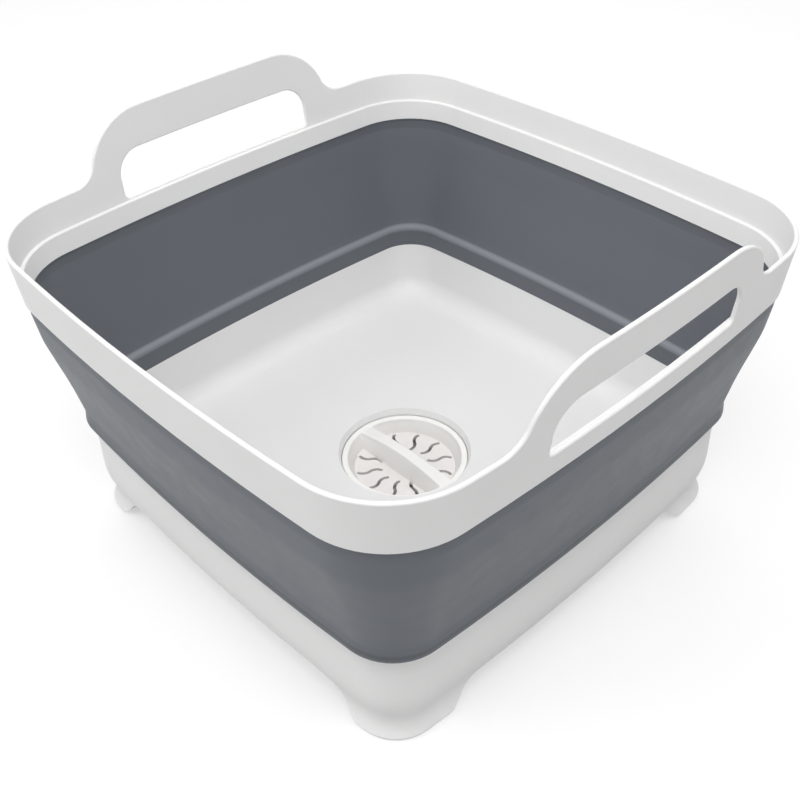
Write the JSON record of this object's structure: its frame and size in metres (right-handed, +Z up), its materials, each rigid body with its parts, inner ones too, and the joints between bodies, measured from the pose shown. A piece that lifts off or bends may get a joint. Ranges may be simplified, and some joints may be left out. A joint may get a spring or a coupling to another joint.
{
  "type": "folding washing-up bowl",
  "caption": "Square folding washing-up bowl: stiff rim with upright carrying handles, soft collapsible wall, footed base tray and a lift-out drain strainer plug.",
  "frame": {"origin": "middle of the surface that the feet stand on", "axes": "+Z up out of the bowl, +X towards one handle, +Y along the handles"},
  "size_m": [0.3166, 0.3138, 0.207],
  "materials": {
    "white_plastic": "satin moulded polypropylene",
    "grey_elastomer": "matt thermoplastic elastomer",
    "ivory_plastic": "satin moulded plastic",
    "seal_rubber": "matt silicone"
  },
  "bodies": {
    "base": {"base_tray": "white_plastic", "folding_wall": "grey_elastomer"},
    "rim": {"rim_frame": "white_plastic"},
    "plug": {"strainer_plug": "ivory_plastic", "stopper_seal": "seal_rubber"}
  },
  "joints": [
    {"name": "collapse", "type": "slide", "parent": "base", "child": "rim", "axis": [0, 0, -1], "range_m": [0, 0.134], "deforming": ["folding_wall"]},
    {"name": "plug_lift", "type": "slide", "parent": "base", "child": "plug", "axis": [0, 0, 1], "range_m": [0, 0.2]}
  ]
}
